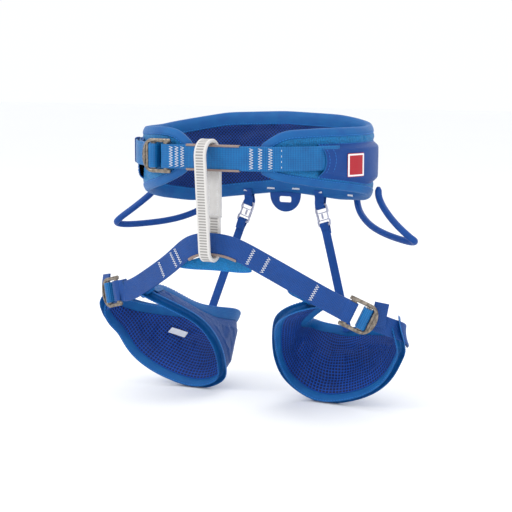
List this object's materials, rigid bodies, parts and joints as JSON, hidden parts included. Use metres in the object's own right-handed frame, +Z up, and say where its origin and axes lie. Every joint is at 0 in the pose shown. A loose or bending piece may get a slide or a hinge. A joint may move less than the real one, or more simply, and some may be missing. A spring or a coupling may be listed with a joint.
{
  "type": "climbing harness",
  "caption": "Sit harness for climbing: padded waist belt and leg loops joined by a belay loop and leg bridge, with slide buckles, elastic risers and gear loops.",
  "frame": {"origin": "middle of the waist opening at the belt's mid height", "axes": "+Z up along the wearer's body, -Y to the wearer's front, +X to the wearer's left"},
  "size_m": [0.446, 0.2519, 0.3685],
  "materials": {
    "white_tape": "white woven tape",
    "belay_webbing": "white webbing with grey cross ribs",
    "binding_tape": "blue folded tape",
    "foam": "closed-cell foam",
    "mesh_lining": "dark blue diamond spacer mesh",
    "shell_fabric": "blue woven shell with mesh bands",
    "sleeve_fabric": "smooth blue woven fabric",
    "tack_thread": "white polyester thread",
    "gusset_fabric": "light cyan mesh",
    "protector_fabric": "warm grey wear fabric",
    "gear_loop_core": "cord",
    "gear_loop_cover": "blue tube",
    "webbing": "blue polyamide webbing",
    "label": "plain red woven patch",
    "buckle_alloy": "bronze-grey anodised",
    "tag": "plain white tag",
    "elastic": "blue woven elastic",
    "hook_plastic": "pale grey moulded"
  },
  "bodies": {
    "waist_belt": {"belt_binding_bottom": "binding_tape", "belt_binding_top": "binding_tape", "belt_foam": "foam", "belt_lining": "mesh_lining", "belt_shell": "shell_fabric", "belt_webbing_sleeve": "sleeve_fabric", "bridge_bar_tacks": "tack_thread", "bridge_gusset": "gusset_fabric", "bridge_protector": "protector_fabric", "label_patch": "label", "leg_bridge_webbing": "webbing", "riser_anchor_left": "webbing", "riser_anchor_right": "webbing", "waist_adjuster_webbing": "webbing", "waist_bar_tacks": "tack_thread", "waist_strap_tail": "webbing", "waist_tail_keeper": "webbing", "waist_tie_in_protector": "protector_fabric", "waist_webbing": "webbing"},
    "waist_buckle": {"waist_buckle_frame": "buckle_alloy"},
    "waist_slide_bar": {"waist_buckle_bar": "buckle_alloy", "waist_buckle_wrap": "webbing"},
    "belay_loop": {"belay_label_sleeve": "white_tape", "belay_loop_webbing": "belay_webbing"},
    "haul_loop": {"haul_loop": "webbing"},
    "gear_loop_left": {"gear_loop_cord_left": "gear_loop_core", "gear_loop_tube_left": "gear_loop_cover"},
    "riser_left": {"riser_elastic_left": "elastic", "riser_hook_left": "hook_plastic"},
    "leg_left": {"leg_binding_back_left": "binding_tape", "leg_binding_front_left": "binding_tape", "leg_foam_left": "foam", "leg_lining_left": "mesh_lining", "leg_shell_left": "shell_fabric", "leg_strap_left": "webbing"},
    "leg_buckle_left": {"leg_buckle_left_frame": "buckle_alloy", "leg_strap_tail_left": "webbing"},
    "leg_slide_bar_left": {"leg_buckle_left_bar": "buckle_alloy", "leg_buckle_left_wrap": "webbing"},
    "gear_loop_right": {"gear_loop_cord_right": "gear_loop_core", "gear_loop_tube_right": "gear_loop_cover"},
    "riser_right": {"riser_elastic_right": "elastic", "riser_hook_right": "hook_plastic"},
    "leg_right": {"leg_binding_back_right": "binding_tape", "leg_binding_front_right": "binding_tape", "leg_foam_right": "foam", "leg_lining_right": "mesh_lining", "leg_shell_right": "shell_fabric", "leg_strap_right": "webbing", "leg_tag": "tag"},
    "leg_buckle_right": {"leg_buckle_right_frame": "buckle_alloy", "leg_strap_tail_right": "webbing"},
    "leg_slide_bar_right": {"leg_buckle_right_bar": "buckle_alloy", "leg_buckle_right_wrap": "webbing"}
  },
  "joints": [
    {"name": "waist_buckle_tilt", "type": "hinge", "parent": "waist_belt", "child": "waist_buckle", "pos_m": [-0.05941, -0.10599, 0.008], "axis": [0, 0, 1], "range_deg": [0, 15]},
    {"name": "waist_slide_bar_slide", "type": "slide", "parent": "waist_buckle", "child": "waist_slide_bar", "axis": [0.9984, -0.0557, 0], "range_m": [0, 0.002]},
    {"name": "leg_buckle_tilt_left", "type": "hinge", "parent": "waist_belt", "child": "leg_buckle_left", "pos_m": [0.16631, -0.05656, -0.17772], "axis": [-0.3938, -0.1708, -0.9032], "range_deg": [0, 15]},
    {"name": "leg_slide_bar_slide_left", "type": "slide", "parent": "leg_buckle_left", "child": "leg_slide_bar_left", "axis": [-0.8286, -0.3594, 0.4293], "range_m": [0, 0.002]},
    {"name": "leg_buckle_tilt_right", "type": "hinge", "parent": "waist_belt", "child": "leg_buckle_right", "pos_m": [-0.16653, -0.0564, -0.177], "axis": [-0.2279, 0.1036, 0.9681], "range_deg": [0, 15]},
    {"name": "leg_slide_bar_slide_right", "type": "slide", "parent": "leg_buckle_right", "child": "leg_slide_bar_right", "axis": [0.8814, -0.4006, 0.2504], "range_m": [0, 0.002]},
    {"name": "belay_loop_twist", "type": "hinge", "parent": "waist_belt", "child": "belay_loop", "pos_m": [0, -0.10875, -0.04725], "axis": [0, 0, 1], "range_deg": [-20, 20]},
    {"name": "leg_lift_left", "type": "hinge", "parent": "waist_belt", "child": "leg_left", "pos_m": [0.1164, -0.04906, -0.17435], "axis": [0.8766, 0.3769, -0.2992], "range_deg": [0, 15]},
    {"name": "riser_swing_left", "type": "hinge", "parent": "waist_belt", "child": "riser_left", "pos_m": [0.05435, 0.1045, -0.06852], "axis": [0.3063, -0.9232, 0.2321], "range_deg": [0, 7.22], "deforming": ["riser_elastic_left"]},
    {"name": "gear_loop_swing_left", "type": "hinge", "parent": "waist_belt", "child": "gear_loop_left", "pos_m": [0.16024, 0.04023, -0.04913], "axis": [0.6298, -0.7469, 0.2134], "range_deg": [-10, 5], "stiffness_Nm_per_rad": 0.35},
    {"name": "leg_lift_right", "type": "hinge", "parent": "waist_belt", "child": "leg_right", "pos_m": [-0.1164, -0.04906, -0.17435], "axis": [0.8766, -0.3769, 0.2992], "range_deg": [0, 15]},
    {"name": "riser_swing_right", "type": "hinge", "parent": "waist_belt", "child": "riser_right", "pos_m": [-0.05329, 0.10464, -0.06852], "axis": [0.3014, 0.9245, -0.2335], "range_deg": [0, 7.26], "deforming": ["riser_elastic_right"]},
    {"name": "gear_loop_swing_right", "type": "hinge", "parent": "waist_belt", "child": "gear_loop_right", "pos_m": [-0.16024, 0.04023, -0.04913], "axis": [0.6298, 0.7469, -0.2134], "range_deg": [-10, 5], "stiffness_Nm_per_rad": 0.35},
    {"name": "haul_loop_swing", "type": "hinge", "parent": "waist_belt", "child": "haul_loop", "pos_m": [0, 0.108, -0.05555], "axis": [1, 0, 0], "range_deg": [0, 60]}
  ],
  "couplings": [
    {"joint": "riser_swing_left", "follows": "leg_lift_left", "ratio": 0.4481},
    {"joint": "riser_swing_right", "follows": "leg_lift_right", "ratio": 0.4508}
  ]
}
